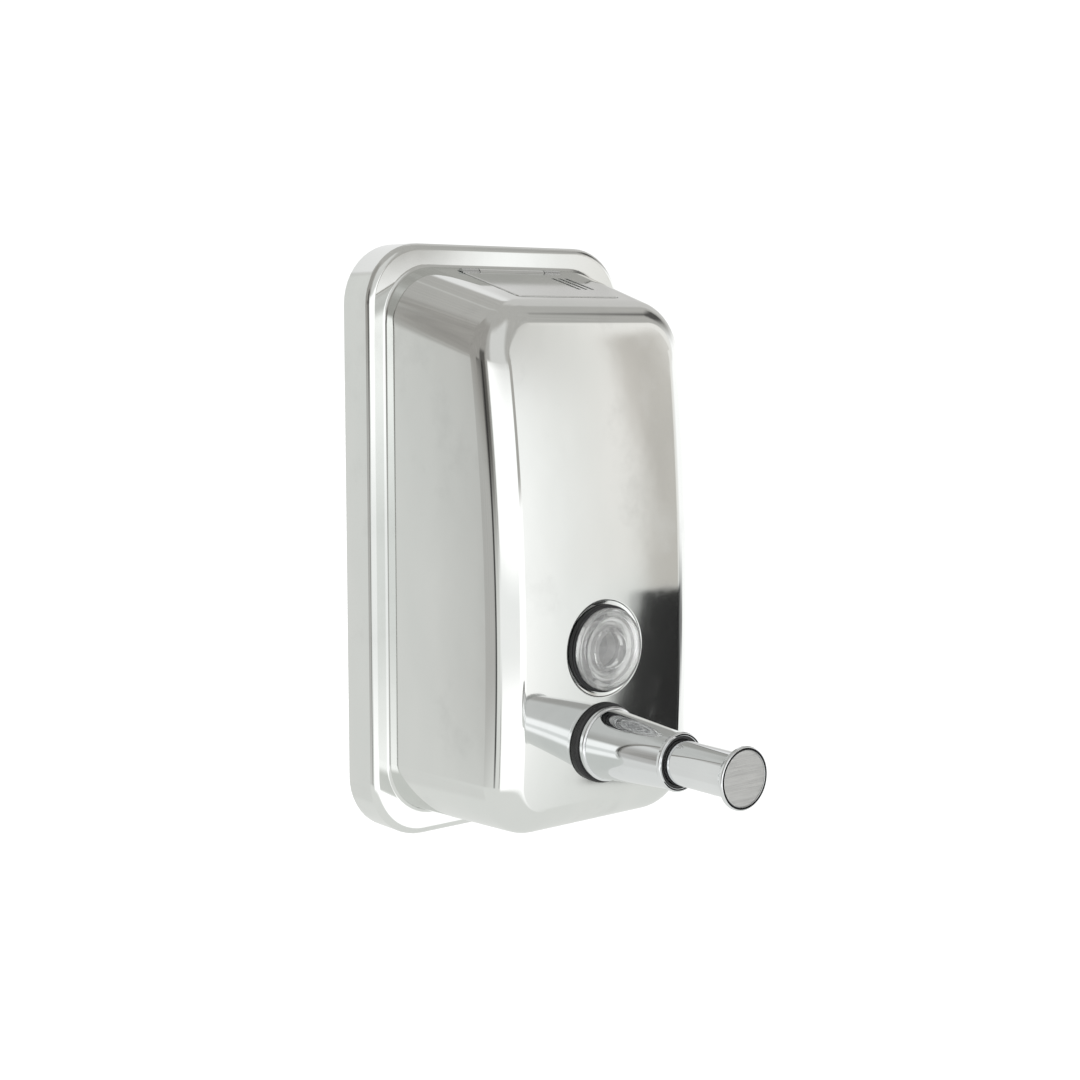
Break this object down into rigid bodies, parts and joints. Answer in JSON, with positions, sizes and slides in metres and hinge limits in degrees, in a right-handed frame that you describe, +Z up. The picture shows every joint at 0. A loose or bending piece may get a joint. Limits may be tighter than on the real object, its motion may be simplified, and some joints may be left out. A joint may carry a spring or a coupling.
{
  "type": "wall mounted soap dispenser",
  "caption": "Polished steel wall soap dispenser with a stepped rim, a hinged locking filler lid, a domed sight window and a horizontal push pump.",
  "frame": {"origin": "centre of the four wall screw holes, on the wall face", "axes": "+X to the right as a user faces the dispenser, +Y into the wall, +Z up"},
  "size_m": [0.112, 0.1364, 0.2066],
  "materials": {
    "polished_steel": "mirror polished stainless steel",
    "lid_steel": "polished stainless steel",
    "plain_steel": "mill finish stainless sheet",
    "zinc_plate": "zinc plated sheet steel",
    "small_steel": "bright stainless steel",
    "chrome": "chrome plated",
    "brushed_disc": "fine brushed stainless steel",
    "rubber": "black moulded rubber",
    "clear_plastic": "clear moulded plastic",
    "white_plastic": "natural white moulded plastic",
    "black_plastic": "black moulded plastic"
  },
  "bodies": {
    "tank": {"housing": "polished_steel", "tank_back": "plain_steel", "hanger_bracket": "plain_steel", "wall_plate": "zinc_plate", "locking_screw": "small_steel", "filler_frame": "plain_steel", "lid_seal": "rubber", "hinge_pin": "small_steel", "window_gasket": "rubber", "window_lens": "clear_plastic", "window_washer": "rubber", "window_nut": "white_plastic", "pump_gasket": "rubber", "pump_sleeve": "chrome", "sleeve_wiper": "rubber", "pump_washer": "rubber", "pump_nut": "white_plastic", "pump_barrel": "white_plastic", "stop_washer": "plain_steel", "return_spring": "small_steel", "inlet_seat": "black_plastic", "inlet_strainer": "white_plastic"},
    "plunger": {"push_rod": "chrome", "button_disc": "brushed_disc", "outlet_nozzle": "black_plastic", "piston": "white_plastic", "piston_seal": "rubber", "spring_keeper": "black_plastic", "discharge_spring": "small_steel"},
    "discharge_valve": {"discharge_ball": "small_steel"},
    "inlet_valve": {"inlet_ball": "small_steel"},
    "lid": {"lid": "lid_steel", "bolt_guide": "plain_steel"},
    "bolt": {"lid_bolt": "plain_steel"}
  },
  "joints": [
    {"name": "pump_push", "type": "slide", "parent": "tank", "child": "plunger", "axis": [0, 1, 0], "range_m": [0, 0.016], "stiffness_N_per_m": 250, "springref_m": -0.008, "deforming": ["return_spring"]},
    {"name": "discharge_lift", "type": "slide", "parent": "plunger", "child": "discharge_valve", "axis": [0, -1, 0], "range_m": [0, 0.0012], "stiffness_N_per_m": 60, "springref_m": -0.001, "deforming": ["discharge_spring"]},
    {"name": "inlet_lift", "type": "slide", "parent": "tank", "child": "inlet_valve", "axis": [0, 0, 1], "range_m": [0, 0.0012]},
    {"name": "lid_hinge", "type": "hinge", "parent": "tank", "child": "lid", "pos_m": [0, -0.02009, 0.09267], "axis": [-1, 0, 0], "range_deg": [0, 110]},
    {"name": "bolt_slide", "type": "slide", "parent": "lid", "child": "bolt", "axis": [0, -0.9636, -0.2672], "range_m": [0, 0.004]}
  ]
}
